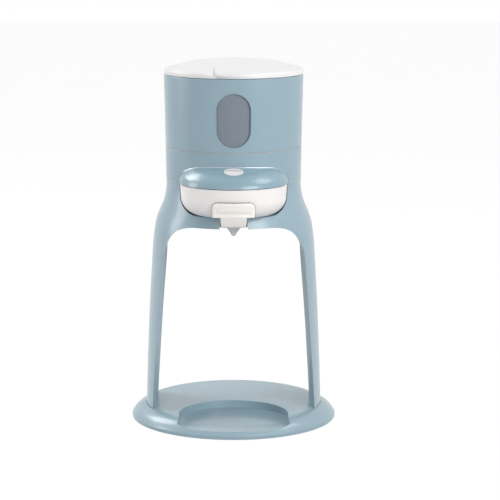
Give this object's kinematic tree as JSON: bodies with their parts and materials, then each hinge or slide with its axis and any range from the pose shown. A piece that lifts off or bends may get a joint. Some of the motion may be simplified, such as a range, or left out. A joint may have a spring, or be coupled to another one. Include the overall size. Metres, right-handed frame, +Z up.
{
  "type": "baby formula maker",
  "caption": "Countertop baby formula maker: round water tank and lid on a tower with curved legs over a bottle bay, pull-out powder drawer with spout, start button.",
  "frame": {"origin": "on the tower's axis, at the level the rubber feet stand on", "axes": "+Z up, the drawer, spout and window face -Y, +X to the viewer's right from the front"},
  "size_m": [0.18, 0.18, 0.3173],
  "materials": {
    "blue_plastic": "satin moulded plastic, blue-grey",
    "blue_gloss": "glossy moulded plastic, blue-grey",
    "white_plastic": "glossy white plastic",
    "bowl_white": "satin white plastic",
    "cream_plastic": "satin cream white plastic",
    "grey_silicone": "soft grey silicone",
    "smoky_clear": "smoky translucent tank plastic",
    "grey_plastic": "matt grey plastic",
    "dark_plastic": "matt dark plastic",
    "rubber": "matt rubber",
    "seal_rubber": "soft seal rubber",
    "steel": "zinc plated steel",
    "motor_steel": "drawn steel can",
    "aluminium": "plain aluminium",
    "hose_silicone": "milky silicone hose",
    "board": "solder mask over laminate"
  },
  "bodies": {
    "root": {"base_shell": "blue_plastic", "base_bottom_plate": "dark_plastic", "rubber_feet": "rubber", "base_screws": "steel", "leg_screws": "steel", "leg_frame": "blue_plastic", "drawer_shelf": "blue_plastic", "long_screws": "steel", "body_housing": "blue_plastic", "drawer_bay": "grey_plastic", "head_cap": "blue_gloss", "button_board": "board", "button_switch": "dark_plastic", "shower_head": "grey_plastic", "tank_socket": "grey_plastic", "socket_seal": "seal_rubber", "pump_head": "dark_plastic", "pump_motor": "motor_steel", "pump_cradle": "rubber", "heater_body": "aluminium", "heater_clamps": "dark_plastic", "thermal_cutouts": "steel", "temperature_sensor": "steel", "inlet_hose": "hose_silicone", "pump_hose": "hose_silicone", "outlet_hose": "hose_silicone", "control_board": "board", "board_parts": "dark_plastic", "terminal_block": "dark_plastic", "cable_gland": "rubber"},
    "tank": {"tank_sleeve": "blue_plastic", "tank_liner": "smoky_clear", "tank_valve_body": "grey_plastic", "valve_spring": "steel"},
    "valve": {"valve_plunger": "white_plastic", "valve_seal": "seal_rubber"},
    "lid": {"tank_lid": "white_plastic", "lid_seal": "seal_rubber"},
    "drawer": {"powder_bowl": "bowl_white", "spout_block": "cream_plastic", "outlet_nozzle": "grey_silicone"},
    "button": {"start_button": "white_plastic"}
  },
  "joints": [
    {"name": "tank_lift", "type": "slide", "parent": "root", "child": "tank", "axis": [0, 0, 1], "range_m": [0, 0.06]},
    {"name": "lid_lift", "type": "slide", "parent": "tank", "child": "lid", "axis": [0, 0, 1], "range_m": [0, 0.03]},
    {"name": "valve_lift", "type": "slide", "parent": "tank", "child": "valve", "axis": [0, 0, 1], "range_m": [-0.0029, 0], "deforming": ["valve_spring"]},
    {"name": "drawer_slide", "type": "slide", "parent": "root", "child": "drawer", "axis": [0, -1, 0], "range_m": [0, 0.06]},
    {"name": "button_press", "type": "slide", "parent": "root", "child": "button", "axis": [0, 0, -1], "range_m": [0, 0.0012], "stiffness_N_per_m": 500}
  ],
  "couplings": [
    {"joint": "valve_lift", "follows": "tank_lift", "ratio": -0.048333}
  ]
}
